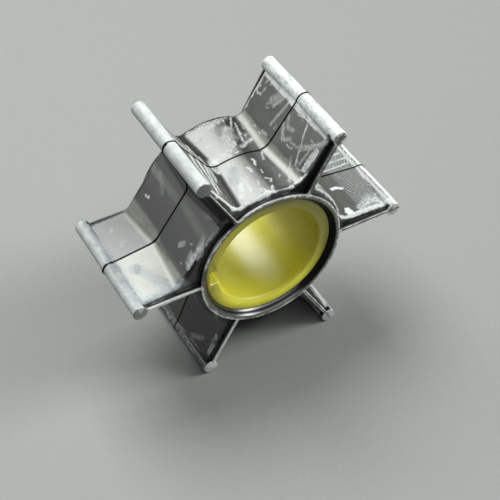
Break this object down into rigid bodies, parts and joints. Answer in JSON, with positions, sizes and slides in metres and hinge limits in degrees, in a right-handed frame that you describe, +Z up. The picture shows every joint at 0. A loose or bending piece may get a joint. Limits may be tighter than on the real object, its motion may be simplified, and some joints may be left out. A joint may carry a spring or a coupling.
{
  "type": "water pump impeller",
  "caption": "Flexible rubber pump impeller with straight beaded vanes on a round hub, lined with a keyed yellow plastic insert.",
  "frame": {"origin": "on the shaft's axis at mid-length, which is the centre of the whole impeller", "axes": "+Y along the shaft's axis, +X along one vane, +Z up between two vanes, so the impeller rests on its two lowest vanes"},
  "size_m": [0.0566, 0.025, 0.0492],
  "materials": {
    "rubber": "satin black, dusted with white chalk",
    "yellow_plastic": "glossy, slightly translucent yellow"
  },
  "bodies": {
    "root": {"rubber_moulding": "rubber", "hub_insert": "yellow_plastic"}
  },
  "joints": []
}
